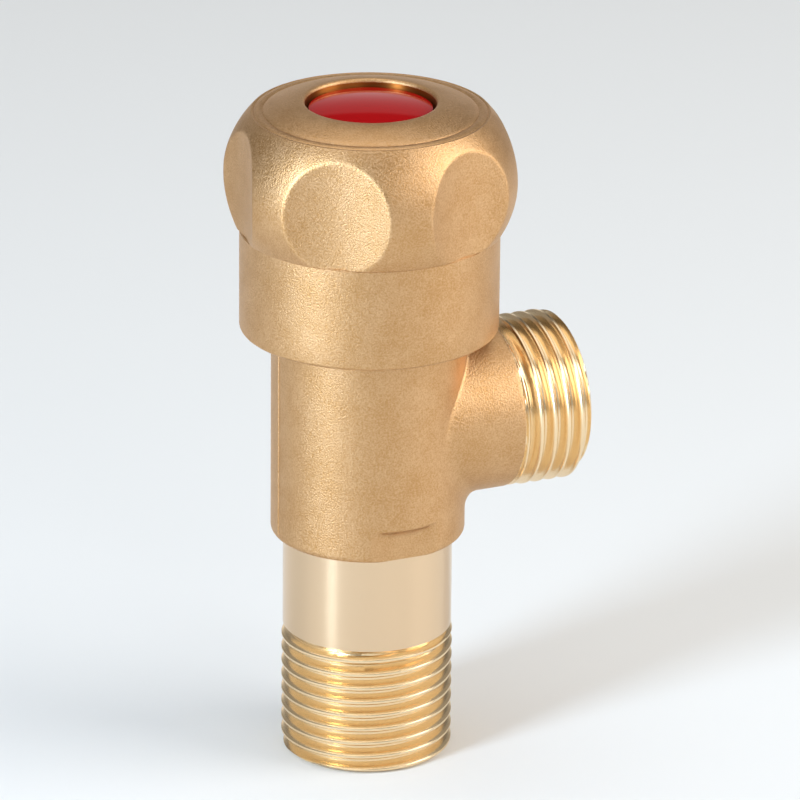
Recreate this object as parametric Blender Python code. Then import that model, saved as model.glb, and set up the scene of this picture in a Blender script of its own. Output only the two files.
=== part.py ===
"""Angle stop valve: a forged brass body with two G 1/2 male ends, a quarter-turn
ceramic headwork and a dimpled handwheel with a coloured index button.

The origin is the centre of the inlet end face. +Z runs up the valve axis, on which
the handwheel turns, and the outlet points along +X. The valve is modelled closed.
"""

import math

import bmesh
import bpy
from mathutils import Matrix

MM = 0.001

# Clearances
GAP = 0.3 * MM            # between pieces that touch or slide on the real valve
SEAL_GAP = 0.15 * MM      # round an O-ring in its groove

# Pipe thread G 1/2 and the two threaded ends
THREAD_RADIUS = 20.955 / 2 * MM
THREAD_PITCH = 1.814 * MM
THREAD_DEPTH = 1.162 * MM
THREAD_RUN_OUT = 1.0 * MM       # length over which the last crests fade
THREAD_SEGMENTS = 24
RUN_OUT_CONE = 1.4 * MM         # length over which the root rises to the full bar
END_CHAMFER_INSET = 0.1 * MM
END_CHAMFER_SLOPE = 0.6         # rise of the end chamfer for each step outwards
INLET_THREAD_LENGTH = 16.2 * MM
INLET_THREAD_START = 147.0      # degrees from +X
OUTLET_THREAD_LENGTH = 9.2 * MM
OUTLET_THREAD_START = 88.0
BORE_RADIUS = 7.0 * MM

# Valve body
SHANK_RADIUS = 10.35 * MM
SHANK_LENGTH = 12.2 * MM
BODY_RADIUS = 11.85 * MM
BARREL_LENGTH = 28.4 * MM
BODY_EDGE = 0.5 * MM
OUTLET_RISE = 13.9 * MM         # outlet axis above the barrel's lower edge
BRANCH_RADIUS = 10.4 * MM
BRANCH_REACH = 15.6 * MM
BAND_RADIUS = 10.2 * MM         # the machined band between the branch and the thread
BAND_WIDTH = 0.8 * MM
FLAT_DEPTH = 0.75 * MM
FLAT_HEIGHT = 3.5 * MM
SEAT_RISE = 2.2 * MM            # seat above the barrel's lower edge
SEAT_LENGTH = 7.0 * MM

# Headwork bonnet: the brass housing that screws into the body
HOUSING_BORE = 6.9 * MM
HOUSING_WALL = 1.5 * MM
HOUSING_LENGTH = 15.9 * MM
BONNET_THREAD_STEP = 0.8 * MM
BONNET_RELIEF = 0.4 * MM        # under the flange, where the thread ends
FLANGE_WIDTH = 2.1 * MM
FLANGE_THICKNESS = 1.0 * MM
GASKET_THICKNESS = 1.2 * MM
HEX_ACROSS_FLATS = 19.0 * MM
HEX_HEIGHT = 4.2 * MM
NECK_WALL = 1.7 * MM
NECK_HEIGHT = 2.4 * MM
WINDOW_WIDTH = 7.0 * MM
WINDOW_HEIGHT = 5.2 * MM

# Discs and lower seal, stacked upwards from the seat
SEAL_HEIGHT = 2.2 * MM
SEAL_WALL = 1.0 * MM
SEAL_HELD = 1.8 * MM             # how far the housing reaches down over the seal
SUPPORT_WALL = 0.4 * MM
DISC_THICKNESS = 2.5 * MM
DISC_LUG_WIDTH = 3.0 * MM
DISC_LUG_REACH = 1.0 * MM
DISC_PORT_INNER = 1.6 * MM
DISC_RIM = 1.2 * MM
DISC_PORT_ANGLE = 76.0          # degrees that each of the two ports spans
DRIVE_SLOT_DEPTH = 1.0 * MM
DAMPER_WALL = 0.5 * MM
DAMPER_SLOT = 2.4 * MM

# Spindle
SPLINE_RADIUS = 3.9 * MM
SPLINE_DEPTH = 0.4 * MM
SPLINE_TEETH = 20
SPLINE_LENGTH = 8.4 * MM
CIRCLIP_GROOVE_SEGMENTS = 2 * SPLINE_TEETH + 4     # its corners miss the teeth's own
STEM_STEP = 0.3 * MM            # stem over spline, so that the spline goes in first
DRIVE_BAR_WIDTH = 3.8 * MM
DRIVE_BAR_HEIGHT = 3.4 * MM
DRIVE_CLEARANCE = 0.5 * MM      # between the bar's ends and the noise damper
COLLAR_HEIGHT = 2.1 * MM
THRUST_WASHER_THICKNESS = 0.8 * MM
O_RING_SECTION = 0.55 * MM
O_RING_HEIGHTS = (4.5 * MM, 8.5 * MM)     # above the bonnet's ceiling

# Stop washer, which limits the turn, and the circlip over it
TURN_RANGE = 90.0               # degrees from closed to open
STOP_LUG_ANGLE = 24.0           # degrees that the washer's lug spans
STOP_LUG_CENTRE = 200.0         # degrees from +X, valve closed
STOP_LUG_HEIGHT = 1.8 * MM
STOP_WASHER_THICKNESS = 1.0 * MM
CIRCLIP_THICKNESS = 0.8 * MM
CIRCLIP_WIDTH = 2.0 * MM
CIRCLIP_GROOVE_DEPTH = 0.8 * MM
CIRCLIP_OPENING = 3.0 * MM

# Handwheel
SKIRT_CLEARANCE = 1.35 * MM     # between the barrel and the skirt
SKIRT_WALL = 2.5 * MM
SKIRT_OVERLAP = 2.0 * MM        # how far the skirt hides the barrel's top
BULGE_PROUD = 2.05 * MM         # the bulge's widest place, outside the skirt
BULGE_DROP = 9.7 * MM           # its widest place, below the rim
BULGE_LENGTH = 15.9 * MM
BULGE_ARC = 12.0 * MM           # radius of the bulge's own curve
CROWN_INSET = 4.05 * MM         # the crown's edge, inside the bulge
CROWN_DROP = 1.0 * MM
GROOVE_WIDTH = 0.6 * MM
GROOVE_DEPTH = 0.35 * MM
WHEEL_LIP = 0.4 * MM            # broken edges of the skirt, crown and opening
SCOOP_COUNT = 6
SCOOP_START = -7.6              # degrees from +X to the first scoop
SCOOP_ARC = 22.0 * MM           # radius that the scoop is hollowed with
SCOOP_DEPTH = 2.25 * MM
SCOOP_LEDGE = 0.05 * MM         # the scoops stop this much above the skirt
HUB_WALL = 2.6 * MM
WEB_THICKNESS = 2.5 * MM
ROOF_THICKNESS = 4.2 * MM
ROOF_CORNER = 1.5 * MM          # slope between the roof and the skirt, inside
RECESS_RADIUS = 7.9 * MM
RECESS_DEPTH = 6.0 * MM

# Handwheel screw (M4), its lock washer and the index button
SCREW_RADIUS = 2.0 * MM
SCREW_LENGTH = 12.0 * MM
SCREW_HEAD_RADIUS = 3.6 * MM
SCREW_HEAD_HEIGHT = 2.2 * MM
LOCK_WASHER_RADIUS = 4.1 * MM
LOCK_WASHER_THICKNESS = 0.8 * MM
BUTTON_CLEARANCE = 0.45 * MM
BUTTON_BELOW_RIM = 1.1 * MM
BUTTON_DOME = 0.6 * MM
BUTTON_WALL = 1.1 * MM

# Radii that follow from the sizes above
THREAD_ROOT = THREAD_RADIUS - THREAD_DEPTH
HOUSING_RADIUS = HOUSING_BORE + HOUSING_WALL
CAVITY_RADIUS = HOUSING_RADIUS + GAP
BONNET_THREAD_RADIUS = HOUSING_RADIUS + BONNET_THREAD_STEP
BODY_THREAD_BORE = BONNET_THREAD_RADIUS + GAP
FLANGE_RADIUS = BONNET_THREAD_RADIUS + FLANGE_WIDTH
STEM_RADIUS = SPLINE_RADIUS + STEM_STEP
STEM_BORE = STEM_RADIUS + GAP
NECK_RADIUS = STEM_BORE + NECK_WALL
DISC_RADIUS = HOUSING_BORE - GAP
SUPPORT_RADIUS = DISC_RADIUS - SEAL_WALL - GAP
SEAT_RADIUS = SUPPORT_RADIUS - GAP
DISC_PORT_OUTER = DISC_RADIUS - DISC_RIM
COLLAR_RADIUS = DISC_RADIUS - DAMPER_WALL - DRIVE_CLEARANCE
CIRCLIP_INNER = SPLINE_RADIUS - CIRCLIP_GROOVE_DEPTH + GAP
CIRCLIP_RADIUS = CIRCLIP_INNER + CIRCLIP_WIDTH
SKIRT_BORE = BODY_RADIUS + SKIRT_CLEARANCE
SKIRT_RADIUS = SKIRT_BORE + SKIRT_WALL
BULGE_RADIUS = SKIRT_RADIUS + BULGE_PROUD
CROWN_RADIUS = BULGE_RADIUS - CROWN_INSET
SCOOP_FLOOR = BULGE_RADIUS - SCOOP_DEPTH
HUB_RADIUS = SPLINE_RADIUS + GAP + HUB_WALL
SCREW_HOLE = SCREW_RADIUS + GAP
BUTTON_RADIUS = RECESS_RADIUS - BUTTON_CLEARANCE

# Heights that follow from the sizes above, from the inlet up
BODY_BOTTOM = INLET_THREAD_LENGTH + SHANK_LENGTH
OUTLET_HEIGHT = BODY_BOTTOM + OUTLET_RISE
BODY_TOP = BODY_BOTTOM + BARREL_LENGTH
SEAT_HEIGHT = BODY_BOTTOM + SEAT_RISE
SEAL_BASE = SEAT_HEIGHT + GAP
FIXED_DISC_BASE = SEAL_BASE + SEAL_HEIGHT + GAP
MOVING_DISC_BASE = FIXED_DISC_BASE + DISC_THICKNESS + GAP
MOVING_DISC_TOP = MOVING_DISC_BASE + DISC_THICKNESS
BAR_BASE = MOVING_DISC_TOP - DRIVE_SLOT_DEPTH + GAP
COLLAR_BASE = BAR_BASE + DRIVE_BAR_HEIGHT
COLLAR_TOP = COLLAR_BASE + COLLAR_HEIGHT
THRUST_WASHER_BASE = COLLAR_TOP + GAP
BONNET_CEILING = THRUST_WASHER_BASE + THRUST_WASHER_THICKNESS + GAP
HOUSING_BASE = FIXED_DISC_BASE - SEAL_HELD
HOUSING_TOP = HOUSING_BASE + HOUSING_LENGTH
GASKET_BASE = BODY_TOP + GAP
FLANGE_BASE = GASKET_BASE + GASKET_THICKNESS + GAP
HEX_BASE = FLANGE_BASE + FLANGE_THICKNESS
NECK_BASE = HEX_BASE + HEX_HEIGHT
NECK_TOP = NECK_BASE + NECK_HEIGHT
STOP_WASHER_BASE = NECK_TOP + GAP
CIRCLIP_BASE = STOP_WASHER_BASE + STOP_WASHER_THICKNESS + GAP
HUB_BASE = CIRCLIP_BASE + CIRCLIP_THICKNESS + GAP
SPLINE_TOP = NECK_TOP + SPLINE_LENGTH
WEB_BASE = SPLINE_TOP + GAP
RECESS_FLOOR = WEB_BASE + WEB_THICKNESS
LOCK_WASHER_BASE = RECESS_FLOOR + GAP
SCREW_HEAD_BASE = LOCK_WASHER_BASE + LOCK_WASHER_THICKNESS + GAP
SCREW_HEAD_TOP = SCREW_HEAD_BASE + SCREW_HEAD_HEIGHT
WHEEL_TOP = RECESS_FLOOR + RECESS_DEPTH
BUTTON_EDGE = WHEEL_TOP - BUTTON_BELOW_RIM
BULGE_HEIGHT = WHEEL_TOP - BULGE_DROP
SKIRT_TOP = WHEEL_TOP - BULGE_LENGTH
SKIRT_BOTTOM = BODY_TOP - SKIRT_OVERLAP

# Places along the outlet, from the valve axis
BAND_REACH = BRANCH_REACH + BAND_WIDTH
OUTLET_REACH = BAND_REACH + OUTLET_THREAD_LENGTH

PAST = 1.0 * MM           # how far a cutter runs past the face that it opens
SMOOTH_ANGLE = math.radians(32)


def principled(name, colour, roughness, metallic=0.0):
    """A material with a plain Principled BSDF."""
    material = bpy.data.materials.new(name)
    material.use_nodes = True
    shader = material.node_tree.nodes["Principled BSDF"]
    shader.inputs["Base Color"].default_value = (*colour, 1.0)
    shader.inputs["Roughness"].default_value = roughness
    shader.inputs["Metallic"].default_value = metallic
    material.diffuse_color = (*colour, 1.0)
    return material


def add_object(name, mesh, material=None):
    """Put a bmesh into the scene as a smooth-shaded object and free it."""
    data = bpy.data.meshes.new(name)
    mesh.to_mesh(data)
    mesh.free()
    data.shade_smooth()
    data.set_sharp_from_angle(angle=SMOOTH_ANGLE)
    piece = bpy.data.objects.new(name, data)
    bpy.context.scene.collection.objects.link(piece)
    if material is not None:
        data.materials.append(material)
    return piece


def turned_mesh(profile, segments, ring):
    """Spin a profile of (radius, height) points round +Z.

    A ring's profile is a closed loop clear of the axis. A solid's profile starts and
    ends on the axis.
    """
    mesh = bmesh.new()
    corners = [mesh.verts.new((radius, 0, height)) for radius, height in profile]
    pairs = list(zip(corners, corners[1:]))
    if ring:
        pairs.append((corners[-1], corners[0]))
    edges = [mesh.edges.new(pair) for pair in pairs]
    bmesh.ops.spin(mesh, geom=corners + edges, cent=(0, 0, 0), axis=(0, 0, 1),
                   dvec=(0, 0, 0), angle=math.tau, steps=segments, use_merge=True)
    bmesh.ops.remove_doubles(mesh, verts=mesh.verts, dist=1e-6)
    bmesh.ops.recalc_face_normals(mesh, faces=mesh.faces)
    return mesh


def turned(name, profile, material=None, segments=48, ring=True):
    """A turned piece."""
    return add_object(name, turned_mesh(profile, segments, ring), material)


def washer(name, inner, outer, base, thickness, material, segments=40):
    """A flat ring."""
    top = base + thickness
    profile = [(inner, base), (outer, base), (outer, top), (inner, top)]
    return turned(name, profile, material, segments)


def prism_mesh(outline, base, top):
    """Extrude a closed outline of (x, y) points from one height to another."""
    mesh = bmesh.new()
    face = mesh.faces.new([mesh.verts.new((x, y, base)) for x, y in outline])
    extruded = bmesh.ops.extrude_face_region(mesh, geom=[face])["geom"]
    raised = [item for item in extruded if isinstance(item, bmesh.types.BMVert)]
    bmesh.ops.translate(mesh, vec=(0, 0, top - base), verts=raised)
    bmesh.ops.recalc_face_normals(mesh, faces=mesh.faces)
    return mesh


def tool(mesh, name):
    """A helper shape for a Boolean, kept out of the model itself."""
    shape = add_object(name, mesh)
    shape.hide_render = True
    shape.display_type = "WIRE"
    return shape


def combine(piece, shape, operation):
    """Cut a helper shape out of a piece, or join it on."""
    modifier = piece.modifiers.new(f"{operation.lower()} {shape.name}", "BOOLEAN")
    modifier.operation = operation
    modifier.solver = "EXACT"
    modifier.object = shape


def cut(piece, mesh, name):
    """Cut a bmesh out of a piece."""
    combine(piece, tool(mesh, name), "DIFFERENCE")


def join(piece, mesh, name):
    """Join a bmesh on to a piece."""
    combine(piece, tool(mesh, name), "UNION")


def cylinder_mesh(radius, base, top, segments=40):
    """A plain cylinder on +Z."""
    profile = [(0, base), (radius, base), (radius, top), (0, top)]
    return turned_mesh(profile, segments, ring=False)


def box_mesh(size_x, size_y, base, top):
    """A box centred on the valve axis."""
    x, y = size_x / 2, size_y / 2
    return prism_mesh([(-x, -y), (x, -y), (x, y), (-x, y)], base, top)


def on_circle(radius, degrees):
    """The (x, y) point at an angle on a circle."""
    angle = math.radians(degrees)
    return radius * math.cos(angle), radius * math.sin(angle)


def sector_outline(inner, outer, centre, span, steps=8):
    """The outline of a ring sector, given in degrees."""
    angles = [centre - span / 2 + span * step / steps for step in range(steps + 1)]
    far_side = [on_circle(outer, angle) for angle in angles]
    near_side = [on_circle(inner, angle) for angle in reversed(angles)]
    return far_side + near_side


def spline_outline(radius):
    """A splined shaft's outline: tips at the radius, roots one tooth depth below."""
    points = []
    for tooth in range(SPLINE_TEETH):
        turn = 360 / SPLINE_TEETH
        points.append(on_circle(radius, tooth * turn))
        points.append(on_circle(radius - SPLINE_DEPTH, (tooth + 0.5) * turn))
    return points


def to_outlet(mesh):
    """Turn a shape that rises from its end face at height 0 so that it runs in from
    the outlet's end face instead."""
    turn = Matrix.Rotation(math.radians(-90), 4, "Y")
    move = Matrix.Translation((OUTLET_REACH, 0, OUTLET_HEIGHT))
    bmesh.ops.transform(mesh, matrix=move @ turn, verts=mesh.verts)
    return mesh


# --- Threaded ends ---------------------------------------------------------------

def threaded_plug(length, start, plug_length):
    """A solid plug with a right-hand male thread, which starts below height 0.

    The end face and its chamfer are cut afterwards, as on a lathe. Where the thread
    runs out, its crests fade into the root.
    """
    segments = THREAD_SEGMENTS
    turns = math.ceil(length / THREAD_PITCH) + 3
    first = -2 * THREAD_PITCH
    form = ((0.0, 0.0), (0.34, 1.0), (0.54, 1.0), (0.88, 0.0))   # (share of pitch, depth)
    per_turn = len(form)
    mesh = bmesh.new()

    def ring_of(height):
        points = [on_circle(THREAD_ROOT, start + 360 * i / segments)
                  for i in range(segments)]
        return [mesh.verts.new((x, y, height)) for x, y in points]

    columns = []
    for i in range(segments):
        column = []
        for row in range(turns * per_turn + 1):
            turn, step = divmod(row, per_turn)
            share, depth = form[step]
            height = first + THREAD_PITCH * (turn + share + i / segments)
            run_out = max(0.0, (length - height) / THREAD_RUN_OUT)
            lead_in = 4 * (turn + i / segments)
            radius = THREAD_ROOT + THREAD_DEPTH * depth * min(1.0, run_out, lead_in)
            x, y = on_circle(radius, start + 360 * i / segments)
            column.append(mesh.verts.new((x, y, height)))
        columns.append(column)
    lower = ring_of(first - THREAD_PITCH)
    upper = ring_of(plug_length)

    for i in range(segments):
        after = (i + 1) % segments
        shift = per_turn if after == 0 else 0
        here, beside = columns[i], columns[after]
        for row in range(len(here) - 1 - shift):
            mesh.faces.new((here[row], beside[row + shift], beside[row + shift + 1],
                            here[row + 1]))
        if shift:
            mesh.faces.new([lower[i], lower[0], *beside[:shift + 1], here[0]])
            mesh.faces.new([upper[0], upper[i], *reversed(here[-shift - 1:]), beside[-1]])
        else:
            mesh.faces.new((lower[i], lower[after], beside[0], here[0]))
            mesh.faces.new((here[-1], beside[-1], upper[after], upper[i]))
    mesh.faces.new(list(reversed(lower)))
    mesh.faces.new(upper)
    bmesh.ops.recalc_face_normals(mesh, faces=mesh.faces)
    return mesh


def end_trim():
    """The stock that is turned off a threaded end: below the face, outside its chamfer."""
    reach = 2 * THREAD_RADIUS
    depth = 4 * THREAD_PITCH
    inner = THREAD_ROOT - END_CHAMFER_INSET
    slope_top = (reach - inner) * END_CHAMFER_SLOPE
    profile = [(0, -depth), (reach, -depth), (reach, slope_top), (inner, 0), (0, 0)]
    return turned_mesh(profile, 48, ring=False)


# --- Fixed pieces ----------------------------------------------------------------

def bar_start(radius, thread_length):
    """Where a turned bar begins behind its thread: the root rises to the full radius."""
    base = thread_length - RUN_OUT_CONE
    return [(0, base), (THREAD_ROOT, base), (radius, thread_length)]


def make_valve_body(material):
    """The forging: vertical shank and barrel, side branch and two threaded ends."""
    profile = bar_start(SHANK_RADIUS, INLET_THREAD_LENGTH)
    profile += [(SHANK_RADIUS, BODY_BOTTOM), (BODY_RADIUS - BODY_EDGE, BODY_BOTTOM),
                (BODY_RADIUS, BODY_BOTTOM + BODY_EDGE), (BODY_RADIUS, BODY_TOP),
                (0, BODY_TOP)]
    body = turned("valve_body", profile, material, segments=48, ring=False)
    for side in (-1, 1):
        flat = box_mesh(2 * BODY_RADIUS, BODY_RADIUS, BODY_BOTTOM - GAP,
                        BODY_BOTTOM + FLAT_HEIGHT)
        shift = side * (1.5 * BODY_RADIUS - FLAT_DEPTH)
        bmesh.ops.translate(flat, vec=(0, shift, 0), verts=flat.verts)
        cut(body, flat, f"wrench_flat_cutter_{side}")
    inlet = threaded_plug(INLET_THREAD_LENGTH, INLET_THREAD_START, BODY_BOTTOM - PAST)
    join(body, inlet, "inlet_thread")
    cut(body, end_trim(), "inlet_end_trim")

    branch_start = OUTLET_REACH - BRANCH_REACH
    branch = bar_start(BAND_RADIUS, OUTLET_THREAD_LENGTH)
    branch += [(BAND_RADIUS, branch_start), (BRANCH_RADIUS, branch_start),
               (BRANCH_RADIUS, OUTLET_REACH), (0, OUTLET_REACH)]
    join(body, to_outlet(turned_mesh(branch, 48, ring=False)), "branch")
    outlet = threaded_plug(OUTLET_THREAD_LENGTH, OUTLET_THREAD_START,
                           OUTLET_REACH - PAST)
    join(body, to_outlet(outlet), "outlet_thread")
    cut(body, to_outlet(end_trim()), "outlet_end_trim")

    thread_base = HOUSING_TOP - GAP
    bore_top = SEAT_HEIGHT - SEAT_LENGTH
    waterway = [(0, -PAST), (BORE_RADIUS, -PAST), (BORE_RADIUS, bore_top),
                (SEAT_RADIUS, bore_top + BORE_RADIUS - SEAT_RADIUS),
                (SEAT_RADIUS, SEAT_HEIGHT), (CAVITY_RADIUS, SEAT_HEIGHT),
                (CAVITY_RADIUS, thread_base), (BODY_THREAD_BORE, thread_base),
                (BODY_THREAD_BORE, BODY_TOP + PAST), (0, BODY_TOP + PAST)]
    cut(body, turned_mesh(waterway, 40, ring=False), "waterway")
    outlet_bore = cylinder_mesh(BORE_RADIUS, -PAST, OUTLET_REACH - SEAT_RADIUS / 2)
    cut(body, to_outlet(outlet_bore), "outlet_bore")
    return body


def make_bonnet(material):
    """The headwork's brass housing, with its windows, hexagon and stop ledge."""
    relief = BONNET_THREAD_RADIUS - BONNET_RELIEF
    relief_base = BODY_TOP - PAST
    profile = [(HOUSING_BORE, HOUSING_BASE), (HOUSING_RADIUS, HOUSING_BASE),
               (HOUSING_RADIUS, HOUSING_TOP), (BONNET_THREAD_RADIUS, HOUSING_TOP),
               (BONNET_THREAD_RADIUS, relief_base), (relief, relief_base),
               (relief, FLANGE_BASE), (FLANGE_RADIUS, FLANGE_BASE),
               (FLANGE_RADIUS, HEX_BASE), (NECK_RADIUS, HEX_BASE),
               (NECK_RADIUS, NECK_TOP), (STEM_BORE, NECK_TOP),
               (STEM_BORE, BONNET_CEILING), (HOUSING_BORE, BONNET_CEILING)]
    bonnet = turned("headwork_bonnet", profile, material, 40)

    corner = HEX_ACROSS_FLATS / math.sqrt(3)
    hexagon = prism_mesh([on_circle(corner, 60 * i) for i in range(6)],
                         HEX_BASE - FLANGE_THICKNESS / 2, NECK_BASE)
    join(bonnet, hexagon, "hexagon")
    cut(bonnet, cylinder_mesh(STEM_BORE, HEX_BASE - PAST, NECK_TOP + PAST),
        "hexagon_bore")

    window_base = MOVING_DISC_TOP - DRIVE_SLOT_DEPTH / 2
    span = 3 * HOUSING_RADIUS
    for size_x, size_y in ((span, WINDOW_WIDTH), (WINDOW_WIDTH, span)):
        window = box_mesh(size_x, size_y, window_base, window_base + WINDOW_HEIGHT)
        cut(bonnet, window, "window_cutter")
    slots = box_mesh(DISC_LUG_WIDTH + 2 * GAP, span, HOUSING_BASE - PAST,
                     FIXED_DISC_BASE + DISC_THICKNESS + GAP)
    cut(bonnet, slots, "disc_lug_slots")

    lug_radius = (STEM_BORE + NECK_RADIUS) / 2
    margin = 2 * math.degrees(GAP / lug_radius)
    ledge = sector_outline(STEM_BORE / 2, NECK_RADIUS + PAST,
                           STOP_LUG_CENTRE + TURN_RANGE / 2,
                           TURN_RANGE + STOP_LUG_ANGLE + margin, steps=16)
    cut(bonnet, prism_mesh(ledge, NECK_TOP - STOP_LUG_HEIGHT, NECK_TOP + PAST),
        "stop_cutter")
    return bonnet


def make_seals(rubber, fibre, steel):
    """The lower seal on the seat, its support ring and the bonnet's gasket."""
    seal_inner = DISC_RADIUS - SEAL_WALL
    washer("seat_seal", seal_inner, DISC_RADIUS, SEAL_BASE, SEAL_HEIGHT, rubber)
    washer("seal_support_ring", SUPPORT_RADIUS - SUPPORT_WALL, SUPPORT_RADIUS,
           SEAL_BASE, SEAL_HEIGHT, steel)
    washer("bonnet_gasket", BODY_THREAD_BORE, FLANGE_RADIUS, GASKET_BASE,
           GASKET_THICKNESS, fibre, segments=48)


def cut_ports(disc, centre):
    """Cut the two opposite ports through a ceramic disc."""
    for side in (0, 180):
        port = sector_outline(DISC_PORT_INNER, DISC_PORT_OUTER, centre + side,
                              DISC_PORT_ANGLE)
        mesh = prism_mesh(port, FIXED_DISC_BASE - PAST, MOVING_DISC_TOP + PAST)
        cut(disc, mesh, f"{disc.name}_port_{side}")


def make_fixed_disc(material):
    """The lower ceramic disc, held by two lugs in the housing's slots."""
    base, top = FIXED_DISC_BASE, FIXED_DISC_BASE + DISC_THICKNESS
    profile = [(0, base), (DISC_RADIUS, base), (DISC_RADIUS, top), (0, top)]
    disc = turned("fixed_disc", profile, material, 40, ring=False)
    lug_inset = 0.4 * MM
    lugs = box_mesh(DISC_LUG_WIDTH, 2 * (DISC_RADIUS + DISC_LUG_REACH),
                    base + lug_inset, top - lug_inset)
    join(disc, lugs, "disc_lugs")
    cut_ports(disc, 0)
    return disc


def make_noise_damper(material):
    """A slotted sleeve inside the windows, which breaks up the flow."""
    outer = DISC_RADIUS
    base = MOVING_DISC_TOP + GAP
    top = COLLAR_TOP
    damper = washer("noise_damper", outer - DAMPER_WALL, outer, base, top - base,
                    material)
    slots = 4                       # each one cuts through both sides
    for step in range(slots):
        angle = math.pi * (step + 0.5) / slots
        slot = box_mesh(3 * outer, DAMPER_SLOT, base + PAST, top - PAST)
        bmesh.ops.rotate(slot, cent=(0, 0, 0), verts=slot.verts,
                         matrix=Matrix.Rotation(angle, 3, "Z"))
        cut(damper, slot, f"damper_slot_{step}")
    return damper


# --- Turning pieces --------------------------------------------------------------

def make_moving_disc(material):
    """The upper ceramic disc, with the slot that the spindle drives it by."""
    profile = [(0, MOVING_DISC_BASE), (DISC_RADIUS, MOVING_DISC_BASE),
               (DISC_RADIUS, MOVING_DISC_TOP), (0, MOVING_DISC_TOP)]
    disc = turned("moving_disc", profile, material, 40, ring=False)
    cut_ports(disc, 90)
    slot = box_mesh(3 * DISC_RADIUS, DRIVE_BAR_WIDTH + 2 * GAP,
                    MOVING_DISC_TOP - DRIVE_SLOT_DEPTH, MOVING_DISC_TOP + PAST)
    cut(disc, slot, "drive_slot")
    return disc


def make_spindle(material):
    """The spindle: drive bar, collar, two O-ring grooves and the splined head."""
    groove_floor = STEM_BORE - 2 * O_RING_SECTION - 2 * SEAL_GAP
    half_groove = O_RING_SECTION + SEAL_GAP
    shoulder = NECK_TOP - STOP_LUG_HEIGHT / 4
    profile = [(0, COLLAR_BASE), (COLLAR_RADIUS, COLLAR_BASE),
               (COLLAR_RADIUS, COLLAR_TOP), (STEM_RADIUS, COLLAR_TOP)]
    for height in O_RING_HEIGHTS:
        middle = BONNET_CEILING + height
        profile += [(STEM_RADIUS, middle - half_groove), (groove_floor, middle - half_groove),
                    (groove_floor, middle + half_groove), (STEM_RADIUS, middle + half_groove)]
    profile += [(STEM_RADIUS, shoulder), (0, shoulder)]
    spindle = turned("spindle", profile, material, 32, ring=False)
    bar = box_mesh(2 * COLLAR_RADIUS, DRIVE_BAR_WIDTH, BAR_BASE,
                   COLLAR_BASE + COLLAR_HEIGHT / 2)
    join(spindle, bar, "drive_bar")
    head = prism_mesh(spline_outline(SPLINE_RADIUS), shoulder - PAST, SPLINE_TOP)
    join(spindle, head, "spline")

    floor = SPLINE_RADIUS - CIRCLIP_GROOVE_DEPTH
    groove_base = CIRCLIP_BASE - SEAL_GAP
    groove_top = CIRCLIP_BASE + CIRCLIP_THICKNESS + SEAL_GAP
    groove = [(floor, groove_base), (SPLINE_RADIUS + PAST, groove_base),
              (SPLINE_RADIUS + PAST, groove_top), (floor, groove_top)]
    cut(spindle, turned_mesh(groove, CIRCLIP_GROOVE_SEGMENTS, ring=True),
        "circlip_groove")
    hole_depth = SCREW_HEAD_BASE - SCREW_LENGTH - PAST
    cut(spindle, cylinder_mesh(SCREW_HOLE, hole_depth, SPLINE_TOP + PAST, 24),
        "screw_hole")
    return spindle


def make_o_ring(name, middle, material):
    """An O-ring in one of the spindle's grooves."""
    centre = STEM_BORE - O_RING_SECTION - SEAL_GAP
    section = []
    sides = 8
    for step in range(sides):
        across, up = on_circle(O_RING_SECTION, 360 * step / sides)
        section.append((centre + across, middle + up))
    return turned(name, section, material, 24)


def make_stop_washer(material):
    """The splined washer whose lug meets the bonnet's ledge at either end."""
    ring = washer("stop_washer", SPLINE_RADIUS / 2, NECK_RADIUS, STOP_WASHER_BASE,
                  STOP_WASHER_THICKNESS, material)
    lug = sector_outline(STEM_BORE, NECK_RADIUS, STOP_LUG_CENTRE, STOP_LUG_ANGLE)
    join(ring, prism_mesh(lug, NECK_TOP - STOP_LUG_HEIGHT + GAP,
                          STOP_WASHER_BASE + STOP_WASHER_THICKNESS / 2), "stop_lug")
    cut(ring, prism_mesh(spline_outline(SPLINE_RADIUS + GAP), STOP_WASHER_BASE - PAST,
                         STOP_WASHER_BASE + STOP_WASHER_THICKNESS + PAST),
        "stop_washer_spline")
    return ring


def make_circlip(material):
    """The open clip that keeps the spindle and the stop washer in place."""
    clip = washer("spindle_circlip", CIRCLIP_INNER, CIRCLIP_RADIUS, CIRCLIP_BASE,
                  CIRCLIP_THICKNESS, material, 32)
    opening = box_mesh(2 * CIRCLIP_RADIUS, CIRCLIP_OPENING, CIRCLIP_BASE - PAST,
                       CIRCLIP_BASE + CIRCLIP_THICKNESS + PAST)
    bmesh.ops.translate(opening, vec=(CIRCLIP_RADIUS, 0, 0), verts=opening.verts)
    cut(clip, opening, "circlip_opening")
    return clip


def bulge_radius(height):
    """Outer radius of the handwheel's bulge at a height."""
    return BULGE_RADIUS - BULGE_ARC + math.sqrt(BULGE_ARC ** 2
                                                - (height - BULGE_HEIGHT) ** 2)


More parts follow.
